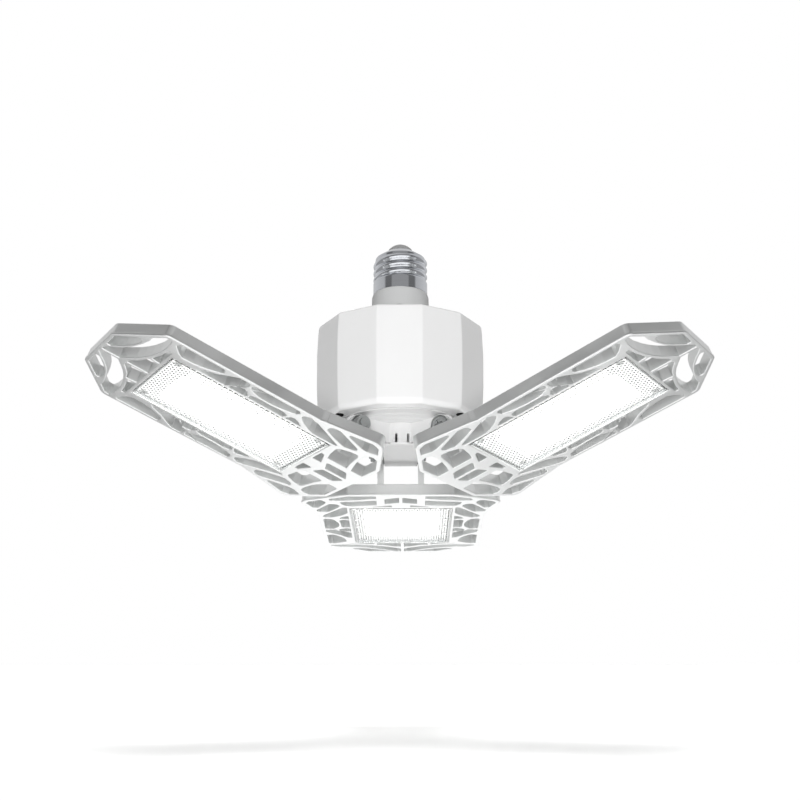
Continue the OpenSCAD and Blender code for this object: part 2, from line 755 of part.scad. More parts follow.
module panel_frame() {
    pocket_len = lens_len + 2 * seat_gap;
    pocket_w = lens_w + 2 * seat_gap;
    groove_span = board_w / groove_count;
    color("white") difference() {
        union() {
            translate([0, 0, face_z]) linear_extrude(rim_h) web();
            translate([0, 0, face_z]) linear_extrude(bead_h) difference() {
                polygon(rounded(inset(outline, -bead_out), corner_r + bead_out, outline_steps));
                polygon(rounded(inset(outline, bead_out), corner_r - bead_out, outline_steps));
            }
            for (side = [0, 1]) mirror([0, side, 0])
                translate([0, ear_out, 0]) rotate([90, 0, 0]) linear_extrude(ear_t) ear_profile();
        }
        translate([lens_at - seat_gap, -pocket_w / 2, face_z - overrun])
            cube([pocket_len, pocket_w, pocket_h + overrun]);
        for (i = [0:groove_count - 1])
            translate([board_in, (i - groove_count / 2) * groove_span + fin_w / 2, back_z - groove_h])
                cube([board_len, groove_span - fin_w, groove_h + overrun]);
        for (x = [board_in + board_screw_inset, board_in + board_len - board_screw_inset], side = [-1, 1])
            translate([x, side * (board_w / 2 - board_screw_inset), pocket_z - overrun])
                cylinder(h = plate_t + overrun, r = board_screw_r + fit_gap);
        pin_y(-ear_out - overrun, ear_out + overrun, pin_r + 2 * fit_gap);
        for (side = [0, 1]) mirror([0, side, 0]) pin_y(recess_w, ear_out + overrun, recess_r);
    }
}

module at_board_screws() {
    for (x = [board_in + board_screw_inset, board_in + board_len - board_screw_inset], side = [-1, 1])
        translate([x, side * (board_w / 2 - board_screw_inset), board_z]) children();
}

module led_board() {
    color("whitesmoke") difference() {
        translate([board_in, -board_w / 2, board_z]) cube([board_len, board_w, board_t]);
        at_board_screws() translate([0, 0, -overrun])
            cylinder(h = board_t + 2 * overrun, r = board_screw_r + fit_gap);
    }
}

module leds() {
    step_x = (board_len - 2 * led_inset) / led_rows;
    step_y = (board_w - 2 * board_screw_inset) / led_columns;
    color("lightyellow") for (i = [0:led_rows - 1], j = [0:led_columns - 1])
        translate([
            board_in + led_inset + (i + 1 / 2) * step_x - led_side / 2,
            (j - (led_columns - 1) / 2) * step_y - led_side / 2,
            board_z - led_h
        ]) cube([led_side, led_side, led_h]);
}

module board_screws() {
    color("silver") at_board_screws() mirror([0, 0, 1])
        pan_screw(board_screw_r, board_t + plate_t - fit_gap, board_head_r, board_head_h);
}

module lens_cover() {
    mid_x = lens_at + lens_len / 2;
    color("azure") difference() {
        translate([mid_x, 0, lens_z]) linear_extrude(pocket_z - lens_z)
            round_rect(lens_len, lens_w, lens_corner_r);
        translate([mid_x, 0, lens_z + lens_t]) linear_extrude(pocket_z - lens_z)
            round_rect(lens_len - 2 * skirt_t, lens_w - 2 * skirt_t, lens_corner_r - skirt_t / 2);
        for (share = gate_shares, side = [-1, 1])
            translate([lens_at + share * lens_len, side * (lens_w / 2 - gate_inset), lens_z - overrun])
                cylinder(h = gate_h + overrun, r = gate_r);
    }
}

// Hinge screw along Y: its head in the ear on one side, its end past the nut on the other
module hinge_screw() {
    edge_h = head_h * head_edge_share;
    color("dimgray") difference() {
        union() {
            pin_y(-recess_w - edge_h, -recess_w, head_r);
            translate([0, -recess_w - edge_h, 0]) rotate([90, 0, 0])
                cylinder(h = head_h - edge_h, r1 = head_r, r2 = head_r * head_top_share);
            pin_y(-recess_w - head_h / 2, recess_w + nut_h + pin_end, pin_r);
        }
        for (size = [[cross_len, cross_w], [cross_w, cross_len]])
            translate([-size.x / 2, -recess_w - head_h - overrun, -size.y / 2])
                cube([size.x, cross_h + overrun, size.y]);
    }
}

module hinge_washers() {
    color("gray") for (side = [0, 1]) mirror([0, side, 0]) difference() {
        pin_y(lug_w / 2, ear_in, ear_r);
        pin_y(lug_w / 2 - overrun, ear_in + overrun, pin_r + 2 * fit_gap);
    }
}

module hinge_nut() {
    color("darkgray") difference() {
        union() {
            translate([0, recess_w, 0]) rotate([-90, 0, 0])
                cylinder(h = nut_h - nut_ring_h, r = nut_corner_r, $fn = 6);
            pin_y(recess_w, recess_w + nut_h, nut_side / 2);
        }
        pin_y(recess_w - overrun, recess_w + nut_h + overrun, pin_r + fit_gap);
    }
}

centre_contact();
contact_insulator();
screw_shell();
base_collar();
housing();
top_cover();
top_cover_screws();
cable_grommets();
hub();
hub_screws();
driver_board();
driver_screws();
transformer_core();
transformer_winding();
capacitors();
driver_chips();
choke();
supply_wires();
panel_leads();
at_panel(back) panel_frame();  // panel_frame_back
at_panel(left) panel_frame();  // panel_frame_left
at_panel(right) panel_frame();  // panel_frame_right
at_panel(back) led_board();  // led_board_back
at_panel(left) led_board();  // led_board_left
at_panel(right) led_board();  // led_board_right
at_panel(back) leds();  // leds_back
at_panel(left) leds();  // leds_left
at_panel(right) leds();  // leds_right
at_panel(back) board_screws();  // board_screws_back
at_panel(left) board_screws();  // board_screws_left
at_panel(right) board_screws();  // board_screws_right
at_panel(back) lens_cover();  // lens_cover_back
at_panel(left) lens_cover();  // lens_cover_left
at_panel(right) lens_cover();  // lens_cover_right
at_panel(back) hinge_screw();  // hinge_screw_back
at_panel(left) hinge_screw();  // hinge_screw_left
at_panel(right) hinge_screw();  // hinge_screw_right
at_panel(back) hinge_washers();  // hinge_washers_back
at_panel(left) hinge_washers();  // hinge_washers_left
at_panel(right) hinge_washers();  // hinge_washers_right
at_panel(back) hinge_nut();  // hinge_nut_back
at_panel(left) hinge_nut();  // hinge_nut_left
at_panel(right) hinge_nut();  // hinge_nut_right
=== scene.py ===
import json
import math

import bmesh
import bpy
from mathutils import Matrix, Vector
from mathutils.kdtree import KDTree


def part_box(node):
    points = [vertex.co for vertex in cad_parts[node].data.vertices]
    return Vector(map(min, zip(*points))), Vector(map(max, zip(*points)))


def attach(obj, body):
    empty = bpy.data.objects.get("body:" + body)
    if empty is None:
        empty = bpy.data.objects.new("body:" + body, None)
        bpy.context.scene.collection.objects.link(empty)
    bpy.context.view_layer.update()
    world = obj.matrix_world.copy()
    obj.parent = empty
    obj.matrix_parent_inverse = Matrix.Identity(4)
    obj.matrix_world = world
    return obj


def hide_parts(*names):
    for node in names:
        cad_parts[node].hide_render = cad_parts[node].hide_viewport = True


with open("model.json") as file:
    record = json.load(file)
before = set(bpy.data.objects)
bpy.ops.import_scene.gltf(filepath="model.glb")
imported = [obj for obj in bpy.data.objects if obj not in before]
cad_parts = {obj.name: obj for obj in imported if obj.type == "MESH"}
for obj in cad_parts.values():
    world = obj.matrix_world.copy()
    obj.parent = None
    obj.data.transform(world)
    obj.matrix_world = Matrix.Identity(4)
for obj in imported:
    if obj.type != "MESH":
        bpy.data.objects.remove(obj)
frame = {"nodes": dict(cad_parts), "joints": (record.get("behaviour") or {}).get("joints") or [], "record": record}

MM = 0.001
scene = bpy.context.scene
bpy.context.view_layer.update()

# Camera, fitted to the outlines of the three panels in the photograph
IMAGE_PX = 800
FOCAL_PX = 1398.19
CENTRE_X_PX = 400.3
SENSOR_W = 36
CAMERA_RISE = 18.08
CAMERA_TURN = 0.5
CAMERA_BACK = 0.62514
CAMERA_Z = -0.25664

camera_data = bpy.data.cameras.new("camera")
camera_data.sensor_width = SENSOR_W
camera_data.lens = SENSOR_W * FOCAL_PX / IMAGE_PX
camera_data.shift_x = (IMAGE_PX / 2 - CENTRE_X_PX) / IMAGE_PX
camera = bpy.data.objects.new("camera", camera_data)
turn = math.radians(CAMERA_TURN)
camera.location = (CAMERA_BACK * math.sin(turn), -CAMERA_BACK * math.cos(turn), CAMERA_Z)
camera.rotation_euler = (math.radians(90 + CAMERA_RISE), 0, turn)
scene.collection.objects.link(camera)
scene.camera = camera


# Nodes of materials

def add(tree, kind, values=()):
    """A new shader node of that kind, with the values of its sockets."""
    made = tree.nodes.new("ShaderNode" + kind)
    for socket, value in dict(values).items():
        made.inputs[socket].default_value = value
    return made


def compute(tree, operation, first, second=None, clamp=False):
    """A math node's output; first and second are sockets or numbers."""
    made = add(tree, "Math")
    made.operation = operation
    made.use_clamp = clamp
    for i, value in enumerate(v for v in (first, second) if v is not None):
        if isinstance(value, (int, float)):
            made.inputs[i].default_value = value
        else:
            tree.links.new(value, made.inputs[i])
    return made.outputs["Value"]


def ranged(tree, value, span, target, smooth=False):
    """A value brought from the range span to the range target."""
    made = add(tree, "MapRange", {
        "From Min": span[0], "From Max": span[1], "To Min": target[0], "To Max": target[1]
    })
    if smooth:
        made.interpolation_type = "SMOOTHSTEP"
    tree.links.new(value, made.inputs["Value"])
    return made.outputs["Result"]


def grain(tree, size, stretch=(1, 1, 1), detail=3):
    """Noise in the piece's own space, with grains of about that size."""
    coords = add(tree, "TexCoord")
    mapping = add(tree, "Mapping", {"Scale": stretch})
    noise = add(tree, "TexNoise", {"Scale": 1 / size, "Detail": detail})
    tree.links.new(coords.outputs["Object"], mapping.inputs["Vector"])
    tree.links.new(mapping.outputs["Vector"], noise.inputs["Vector"])
    return noise.outputs["Fac"]


NOISE_SPAN = (0.3, 0.7)
GLOSS_SPREAD = 0.15


def surface(
    name, tone, roughness, metallic=0.0, mottle=0.03, cloud=15 * MM, reliefs=(), stretch=(1, 1, 1)
):
    """A material whose tone and gloss vary softly; reliefs are pairs of a grain's size and height."""
    material = bpy.data.materials.new(name)
    material.use_nodes = True
    tree = material.node_tree
    shader = tree.nodes["Principled BSDF"]
    shader.inputs["Metallic"].default_value = metallic
    clouds = grain(tree, cloud, stretch)
    mix = add(tree, "MixRGB", {
        "Color1": (*[c * (1 - mottle) for c in tone], 1),
        "Color2": (*[min(1, c * (1 + mottle)) for c in tone], 1)
    })
    tree.links.new(clouds, mix.inputs["Fac"])
    tree.links.new(mix.outputs["Color"], shader.inputs["Base Color"])
    least, most = roughness * (1 - GLOSS_SPREAD), roughness * (1 + GLOSS_SPREAD)
    tree.links.new(ranged(tree, clouds, NOISE_SPAN, (least, most)), shader.inputs["Roughness"])
    normal = None
    for size, height in reliefs:
        bump = add(tree, "Bump", {"Strength": 1, "Distance": height})
        tree.links.new(grain(tree, size, stretch), bump.inputs["Height"])
        if normal:
            tree.links.new(normal, bump.inputs["Normal"])
        normal = bump.outputs["Normal"]
    if normal:
        tree.links.new(normal, shader.inputs["Normal"])
    return material


def shader_of(material):
    return material.node_tree.nodes["Principled BSDF"]


# Pieces

PANELS = ("back", "left", "right")
ROOT = "lamp_body"
WELD = 1e-6


def panel_place(side):
    """From a panel's own space, X outward, Y along its hinge and Z up, to its place at rest.

    A panel lies level at its lower limit.
    """
    joint = next(j for j in frame["joints"] if j["child"] == "panel_" + side)
    raise_axis = Vector(joint["axis"]).normalized()
    tilt = -math.radians(joint["range_deg"][0])
    up = Vector((0, 0, 1))
    outward = up.cross(raise_axis) * math.cos(tilt) + up * math.sin(tilt)
    turn = Matrix((outward, -raise_axis, raise_axis.cross(outward))).transposed()
    return Matrix.Translation(joint["pos_m"]) @ turn.to_4x4()


def cad_mesh(node, place=Matrix()):
    """A CAD node's mesh in the space of place, welded."""
    mesh = bmesh.new()
    mesh.from_mesh(frame["nodes"][node].data)
    bmesh.ops.transform(mesh, matrix=place.inverted(), verts=mesh.verts)
    bmesh.ops.remove_doubles(mesh, verts=mesh.verts, dist=WELD)
    return mesh


# Where many small edges meet, a bevel throws single points far off: they go back to their edge
EDGE_STEP = 0.2 * MM
STRAY = 2.5


def points_along(edges):
    """A search tree of points along edges."""
    points = []
    for edge in edges:
        steps = math.ceil(edge.calc_length() / EDGE_STEP)
        first, last = edge.verts
        points += [first.co.lerp(last.co, i / steps) for i in range(steps + 1)]
    tree = KDTree(len(points))
    for i, point in enumerate(points):
        tree.insert(point, i)
    tree.balance()
    return tree


def round_edges(mesh, width, sharp=40, segments=2, wanted=None):
    """Rounds the edges that are sharper than an angle and that wanted picks."""
    edges = [e for e in mesh.edges if e.is_manifold and e.calc_face_angle() > math.radians(sharp)]
    if wanted:
        edges = [e for e in edges if wanted(e)]
    tree = points_along(edges)
    made = bmesh.ops.bevel(
        mesh, geom=edges, offset=width, offset_type="OFFSET", segments=segments, profile=0.5,
        affect="EDGES", clamp_overlap=False)
    for vert in made["verts"]:
        near, _, away = tree.find(vert.co)
        if away > STRAY * width:
            vert.co = near.lerp(vert.co, width / away)
    return mesh


def finished(mesh, name, material, sharp=35):
    """A mesh data block, smooth but for the edges that are sharper than an angle."""
    bmesh.ops.remove_doubles(mesh, verts=mesh.verts, dist=WELD / 10)
    bmesh.ops.recalc_face_normals(mesh, faces=mesh.faces)
    data = bpy.data.meshes.new(name)
    mesh.to_mesh(data)
    mesh.free()
    data.materials.append(material)
    data.shade_smooth()
    data.set_sharp_from_angle(angle=math.radians(sharp))
    return data


def put(name, data, body, replaced, place=Matrix(), even=True):
    """A piece in its place on its body, in the stead of a CAD node; even keeps its flat faces flat."""
    piece = bpy.data.objects.new(name, data)
    piece.matrix_world = place
    scene.collection.objects.link(piece)
    if even:
        piece.modifiers.new("even_normals", "WEIGHTED_NORMAL").keep_sharp = True
    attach(piece, body)
    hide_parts(replaced)


def put_on_panels(kind, data, even=True):
    """The same piece on each panel."""
    for side in PANELS:
        node = kind + "_" + side
        put(node + "_look", data, "panel_" + side, node, panel_place(side), even)


def span(mesh):
    """Lowest and highest corner of a mesh."""
    low = Vector([min(v.co[i] for v in mesh.verts) for i in range(3)])
    high = Vector([max(v.co[i] for v in mesh.verts) for i in range(3)])
    return low, high


# Materials

coating = surface("coating", (0.92, 0.93, 0.925), 0.34, metallic=0.94, mottle=0.02, reliefs=(
    (0.45 * MM, 0.004 * MM), (2.5 * MM, 0.005 * MM)))
hub_plastic = surface("hub_plastic", (0.65, 0.65, 0.65), 0.35, mottle=0.02, reliefs=(
    (0.5 * MM, 0.006 * MM),))
housing_plastic = surface("housing_plastic", (0.85, 0.85, 0.85), 0.14, mottle=0.01, reliefs=(
    (9 * MM, 0.03 * MM),))
collar_plastic = surface("collar_plastic", (0.53, 0.535, 0.535), 0.42, mottle=0.02, reliefs=(
    (0.35 * MM, 0.006 * MM),))
insulator_plastic = surface("insulator_plastic", (0.30, 0.30, 0.30), 0.35, mottle=0.03, reliefs=(
    (0.4 * MM, 0.006 * MM),))
shell_metal = surface("shell_metal", (0.76, 0.78, 0.82), 0.09, metallic=1.0, mottle=0.05,
    cloud=6 * MM, reliefs=((0.8 * MM, 0.004 * MM),), stretch=(1, 1, 5))
contact_metal = surface("contact_metal", (0.40, 0.40, 0.40), 0.45, metallic=0.5, mottle=0.03,
    cloud=2 * MM, reliefs=((0.5 * MM, 0.004 * MM),))
zinc = surface("zinc", (0.35, 0.36, 0.36), 0.42, metallic=0.6, mottle=0.05, cloud=2 * MM, reliefs=(
    (0.3 * MM, 0.004 * MM),))
pale_zinc = surface("pale_zinc", (0.85, 0.85, 0.84), 0.35, metallic=0.3, mottle=0.03, reliefs=(
    (0.3 * MM, 0.004 * MM),))
grommet_rubber = surface("grommet_rubber", (0.006, 0.006, 0.006), 0.8, mottle=0.2, reliefs=(
    (0.4 * MM, 0.02 * MM),))
shader_of(grommet_rubber).inputs["Specular IOR Level"].default_value = 0.2
green_mask = surface("green_mask", (0.02, 0.12, 0.05), 0.35, mottle=0.15, reliefs=(
    (1.5 * MM, 0.02 * MM),))
ferrite = surface("ferrite", (0.05, 0.05, 0.055), 0.6, mottle=0.2, reliefs=((0.5 * MM, 0.03 * MM),))
yellow_tape = surface("yellow_tape", (0.75, 0.50, 0.05), 0.35, mottle=0.08, reliefs=(
    (3 * MM, 0.03 * MM),), stretch=(1, 1, 6))
dark_sleeve = surface("dark_sleeve", (0.02, 0.025, 0.04), 0.3, mottle=0.2, reliefs=(
    (4 * MM, 0.03 * MM),))
chip_plastic = surface("chip_plastic", (0.02, 0.02, 0.02), 0.55, mottle=0.2, reliefs=(
    (0.3 * MM, 0.02 * MM),))
copper_wire = surface("copper_wire", (0.55, 0.22, 0.08), 0.3, metallic=0.9, mottle=0.15, reliefs=(
    (0.6 * MM, 0.1 * MM),))
wire_sleeve = surface("wire_sleeve", (0.04, 0.04, 0.04), 0.4, mottle=0.2, reliefs=(
    (1 * MM, 0.02 * MM),))

GLOW_TINT = (1, 0.99, 0.97, 1)
CLEAR_IOR = 1.49
clear_plastic = surface("clear_plastic", (0.97, 0.985, 0.985), 0.04, mottle=0.01)
shader_of(clear_plastic).inputs["Transmission Weight"].default_value = 1
shader_of(clear_plastic).inputs["IOR"].default_value = CLEAR_IOR


def glowing(name, tone, strength, field=None):
    """A pale surface that shines: the LEDs as lamps, the board with painted glow. A field is a centre, half a
    size, a soft edge and the least glow.
    """
    material = surface(name, tone, 0.4, mottle=0.02, reliefs=((0.5 * MM, 0.01 * MM),))
    tree = material.node_tree
    shader = shader_of(material)
    shader.inputs["Emission Color"].default_value = GLOW_TINT
    shader.inputs["Emission Strength"].default_value = strength
    if field:
        centre, half, fade, least = field
        coords = add(tree, "TexCoord")
        place = add(tree, "SeparateXYZ")
        tree.links.new(coords.outputs["Object"], place.inputs["Vector"])
        shine = None
        for axis, middle, reach in zip("XY", centre, half):
            away = compute(tree, "ABSOLUTE", compute(tree, "SUBTRACT", place.outputs[axis], middle))
            share = ranged(tree, away, (reach, reach + fade), (1, 0), smooth=True)
            shine = compute(tree, "MULTIPLY", shine, share) if shine else share
        glow = ranged(tree, shine, (0, 1), (least, strength))
        tree.links.new(glow, shader.inputs["Emission Strength"])
    return material


# Screw base

THREAD_PITCH = 3.63 * MM
THREAD_DEPTH = 1.0 * MM
THREAD_CREST_Z = 5.94 * MM
THREAD_TURNS = 2.75
CRESTS = 3
THREAD_FADE = 0.6 * MM
SHELL_WALL = 0.5 * MM
CREST_POWER = 0.8
AROUND = 96
ROW_H = 0.2 * MM


def screw_shell():
    """The rolled shell: a plain sleeve, a right-handed thread and a cone, in sheet metal."""
    low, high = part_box("screw_shell")
    root_r = high.x - THREAD_DEPTH
    top_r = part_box("contact_insulator")[1].x
    sleeve_top = frame["record"]["mounts"][0]["dims"]["length_mm"] * MM
    thread_low = sleeve_top + 2 * THREAD_DEPTH
    thread_high = thread_low + THREAD_TURNS * THREAD_PITCH
    shoulder_low = thread_low + CRESTS * THREAD_PITCH
    shoulder_h = high.z - shoulder_low
    rows = round((high.z - low.z) / ROW_H)

    def radius(z, turn):
        """The shell's outside; the thread fades out below the cone and above the sleeve."""
        if z >= shoulder_low:
            rise = min(1, (z - shoulder_low) / shoulder_h)
            return root_r - (root_r - top_r) * rise
        sleeve = smooth_share((thread_low - z) / (thread_low - sleeve_top))
        inside = min(z - sleeve_top - THREAD_DEPTH, thread_high - z) / THREAD_FADE
        wave = (1 + math.cos(2 * math.pi * ((z - THREAD_CREST_Z) / THREAD_PITCH - turn))) / 2
        return root_r + THREAD_DEPTH * max(sleeve, wave ** CREST_POWER * smooth_share(inside))

    mesh = bmesh.new()
    rings = []
    for thickness in (0, SHELL_WALL):
        for i in range(rows + 1):
            z = low.z + (high.z - low.z) * i / rows
            ring = []
            for j in range(AROUND):
                turn = j / AROUND
                r = radius(z, turn) - thickness
                ring.append(mesh.verts.new((
                    r * math.cos(2 * math.pi * turn), r * math.sin(2 * math.pi * turn),
                    z if i < rows else high.z - thickness)))
            rings.append(ring)
    outer, inner = rings[:rows + 1], rings[rows + 1:]
    loops = outer + inner[::-1] + [outer[0]]
    for lower, upper in zip(loops, loops[1:]):
        for j in range(AROUND):
            k = (j + 1) % AROUND
            mesh.faces.new((lower[j], lower[k], upper[k], upper[j]))
    return mesh


def smooth_share(x):
    x = max(0, min(1, x))
    return x * x * (3 - 2 * x)


shell = finished(screw_shell(), "screw_shell", shell_metal, sharp=60)
put("screw_shell_look", shell, ROOT, "screw_shell", even=False)

# Housing, collar and hub

for name, slot, material, width, sharp in (
    ("centre_contact", "contact", contact_metal, 0.15 * MM, 40),
    ("contact_insulator", "insulator", insulator_plastic, 0.3 * MM, 40),
    ("base_collar", "collar", collar_plastic, 0.3 * MM, 40),
    ("housing", "housing", housing_plastic, 0.45 * MM, 25),
    ("top_cover", "housing", housing_plastic, 0.3 * MM, 40),
    ("hub", "hub", hub_plastic, 0.3 * MM, 40),
    ("cable_grommets", "grommet", grommet_rubber, 0.12 * MM, 40),
    ("top_cover_screws", "screws", zinc, 0.08 * MM, 50),
):
    mesh = round_edges(cad_mesh(name), width, sharp)
    put(name + "_look", finished(mesh, name, material), ROOT, name)

# Driver and other hidden parts

for name, material in (
    ("hub_screws", zinc), ("driver_screws", zinc), ("driver_board", green_mask),
    ("transformer_core", ferrite), ("transformer_winding", yellow_tape), ("capacitors", dark_sleeve),
    ("driver_chips", chip_plastic), ("choke", copper_wire), ("supply_wires", wire_sleeve),
    ("panel_leads", wire_sleeve),
    *[("board_screws_" + side, pale_zinc) for side in PANELS],
    *[("hinge_washers_" + side, zinc) for side in PANELS],
):
    frame["nodes"][name].data.materials.clear()
    frame["nodes"][name].data.materials.append(material)

# Panels

back = panel_place("back")
casting = cad_mesh("panel_frame_back", back)
casting_low, casting_high = span(casting)
face_z = casting_low.z
rim_top_z = max(v.co.z for v in casting.verts if v.co.x > casting_high.x / 2)
SNAP = 0.02 * MM
CASTING_ROUND = 0.4 * MM


def on_level(edge, level):
    return all(abs(vert.co.z - level) < SNAP for vert in edge.verts)


round_edges(casting, CASTING_ROUND, wanted=lambda e: on_level(e, face_z) or on_level(e, rim_top_z))
put_on_panels("panel_frame", finished(casting, "panel_frame", coating))

for kind, slot, material, width in (
    ("hinge_screw", "hinge_steel", zinc, 0.12 * MM),
    ("hinge_nut", "hinge_steel", zinc, 0.15 * MM),
):
    mesh = round_edges(cad_mesh(kind + "_back", back), width, sharp=50)
    put_on_panels(kind, finished(mesh, kind, material))

# Light windows

PRISM = 1.3 * MM
PRISM_SHARES = (0, 0.35, 0.7)
PRISM_TIP = 1
PRISM_H = 0.34 * MM
INNER_PRISM_H = 0.14 * MM
PRISM_BORDER = 9 * MM
COVER_FACE = 1.2 * MM
COVER_SKIRT = 0.4 * MM
COVER_CORNER = 1.2 * MM
COVER_FILLET = 0.15 * MM
COVER_RIM = [0, 0.05 * MM, 0.15 * MM, 0.3 * MM, 0.35 * MM, 0.8 * MM]
SKIRT_ROWS = 5
GATE_SHARES = (0.31, 0.51, 0.72)
GATE_INSET = 2.7 * MM
GATE_R = 1.3 * MM
GATE_DEPTH = 0.25 * MM


def stations(length):
    """Places across the cover: its rounded rim, then the foot, tip and foot of each prism."""
    field = length - 2 * COVER_CORNER
    prisms = round(field / PRISM)
    steps = [i + share for i in range(prisms) for share in PRISM_SHARES]
    inner = [COVER_CORNER + field * step / prisms for step in steps]
    return COVER_RIM + inner + [length - COVER_CORNER] + [length - x for x in reversed(COVER_RIM)]


def lens_cover():
    """A clear cover with a field of prisms on its face and a skirt round its back."""
    cad = cad_mesh("lens_cover_back", back)
    low, high = span(cad)
    cad.free()
    us, ws = stations(high.x - low.x), stations(high.y - low.y)
    gates = [
        (share * us[-1], side * (ws[-1] / 2 - GATE_INSET) + ws[-1] / 2)
        for share in GATE_SHARES for side in (-1, 1)
    ]

    def front(i, j):
        """Depth of the face: tips of prisms in every other cell, low ones in the middle, and gates."""
        u, w = us[i], ws[j]
        edge = min(u, us[-1] - u, w, ws[-1] - w)
        if edge < COVER_FILLET:
            return COVER_FILLET - math.sqrt(COVER_FILLET ** 2 - (COVER_FILLET - edge) ** 2)
        if any(math.hypot(u - a, w - b) < GATE_R for a, b in gates):
            return GATE_DEPTH
        if edge <= COVER_CORNER:
            return 0
        cells = [divmod(k - len(COVER_RIM), len(PRISM_SHARES)) for k in (i, j)]
        if any(step != PRISM_TIP for _, step in cells) or sum(cell for cell, _ in cells) % 2:
            return PRISM_H
        return 0 if edge < PRISM_BORDER else PRISM_H - INNER_PRISM_H

    def back_height(i, j):
        """The flat back, and the skirt along its edge."""
        row = min(i, len(us) - 1 - i, j, len(ws) - 1 - j)
        return COVER_FACE + (COVER_SKIRT if row < SKIRT_ROWS else 0)

    def place(i, j):
        """Rounds the cover's four corners."""
        u, w = us[i], ws[j]
        a = COVER_CORNER - min(u, us[-1] - u)
        b = COVER_CORNER - min(w, ws[-1] - w)
        if a > 0 and b > 0:
            shrink = max(a, b) / math.hypot(a, b)
            u += (a - a * shrink) * (1 if u < us[-1] / 2 else -1)
            w += (b - b * shrink) * (1 if w < ws[-1] / 2 else -1)
        return low.x + u, low.y + w

    mesh = bmesh.new()
    sheets = []
    for height in (front, back_height):
        sheets.append([
            [mesh.verts.new((*place(i, j), low.z + height(i, j))) for j in range(len(ws))]
            for i in range(len(us))
        ])
    for sheet in sheets:
        for i in range(len(us) - 1):
            for j in range(len(ws) - 1):
                a, b, c, d = sheet[i][j], sheet[i + 1][j], sheet[i + 1][j + 1], sheet[i][j + 1]
                # The diagonals turn from cell to cell, so that each prism has even sides
                if (i + j) % 2:
                    a, b, c, d = b, c, d, a
                mesh.faces.new((a, b, c))
                mesh.faces.new((a, c, d))
    face, rear = sheets
    last_i, last_j = len(us) - 1, len(ws) - 1
    rim = [(i, 0) for i in range(last_i)] + [(last_i, j) for j in range(last_j)]
    rim += [(i, last_j) for i in range(last_i, 0, -1)] + [(0, j) for j in range(last_j, 0, -1)]
    for (i, j), (k, m) in zip(rim, rim[1:] + rim[:1]):
        mesh.faces.new((face[i][j], face[k][m], rear[k][m], rear[i][j]))
    bmesh.ops.remove_doubles(mesh, verts=mesh.verts, dist=WELD / 10)
    bmesh.ops.dissolve_degenerate(mesh, edges=mesh.edges, dist=WELD / 10)
    # The back is flat inside the skirt, so one face takes the place of the many behind the prisms
    plain = low.z + COVER_FACE
    flat = [f for f in mesh.faces if all(abs(v.co.z - plain) < WELD for v in f.verts)]
    bmesh.ops.dissolve_faces(mesh, faces=flat, use_verts=False)
    return mesh


cover = finished(lens_cover(), "lens_cover", clear_plastic, sharp=20)
put_on_panels("lens_cover", cover, even=False)

# The board is no lamp: a painted glow on it stands in for the LEDs' light spreading over it, bright over the LEDs
# and fading at its edges
LED_GLOW = 3.0
BOARD_PAINTED_GLOW = 2.2
BOARD_EDGE_PAINTED_GLOW = 0.8
GLOW_FADE = 3 * MM
LED_ROUND = 0.12 * MM

leds = cad_mesh("leds_back", back)
led_low, led_high = span(leds)
led_field = ((led_low + led_high).xy / 2, (led_high - led_low).xy / 2, GLOW_FADE, BOARD_EDGE_PAINTED_GLOW)
phosphor = glowing("led_phosphor", (0.95, 0.90, 0.65), LED_GLOW)
put_on_panels("leds", finished(round_edges(leds, LED_ROUND), "leds", phosphor))
board = cad_mesh("led_board_back", back)
# Painted glow on the board, strongest over the LEDs and fading to its edges
painted_board_glow = glowing("board_painted_glow", (0.88, 0.88, 0.87), BOARD_PAINTED_GLOW, led_field)
put_on_panels("led_board", finished(board, "led_board", painted_board_glow))

# Stage

# PAPER_LIFT brings the floor to white outside the shadow, for the rays that see the background
FLOOR_TILT = 8
FLOOR_Z = -0.21
FLOOR_REACH = 3
PAPER_TONE = 0.8
PAPER_LIFT = 0.57
AMBIENT = 0.03

floor_data = bpy.data.meshes.new("floor")
floor_data.from_pydata(
    [(x * FLOOR_REACH, y * FLOOR_REACH, 0) for x, y in ((-1, -1), (1, -1), (1, 1), (-1, 1))], [],
    [(0, 1, 2, 3)])
floor = bpy.data.objects.new("floor", floor_data)
floor.location = (0, 0, FLOOR_Z)
floor.rotation_euler = (math.radians(FLOOR_TILT), 0, 0)
scene.collection.objects.link(floor)

paper = bpy.data.materials.new("paper")
paper.use_nodes = True
paper_tree = paper.node_tree
paper_tree.nodes.remove(shader_of(paper))


def seen(tree):
    """1 for the rays that see the background straight, in a reflection or through a cover."""
    path = add(tree, "LightPath")
    total = compute(tree, "ADD", path.outputs["Is Camera Ray"], path.outputs["Is Glossy Ray"])
    return compute(tree, "ADD", total, path.outputs["Is Transmission Ray"], clamp=True)


diffuse = add(paper_tree, "BsdfDiffuse", {"Color": (PAPER_TONE, PAPER_TONE, PAPER_TONE, 1)})
lift = add(paper_tree, "Emission", {"Color": (1, 1, 1, 1)})
both = add(paper_tree, "AddShader")
clear = add(paper_tree, "BsdfTransparent")
one_sided = add(paper_tree, "MixShader")
geometry = add(paper_tree, "NewGeometry")
rays = add(paper_tree, "LightPath")
lifted = compute(paper_tree, "MULTIPLY", seen(paper_tree), PAPER_LIFT)
paper_tree.links.new(lifted, lift.inputs["Strength"])
paper_tree.links.new(diffuse.outputs["BSDF"], both.inputs[0])
paper_tree.links.new(lift.outputs["Emission"], both.inputs[1])
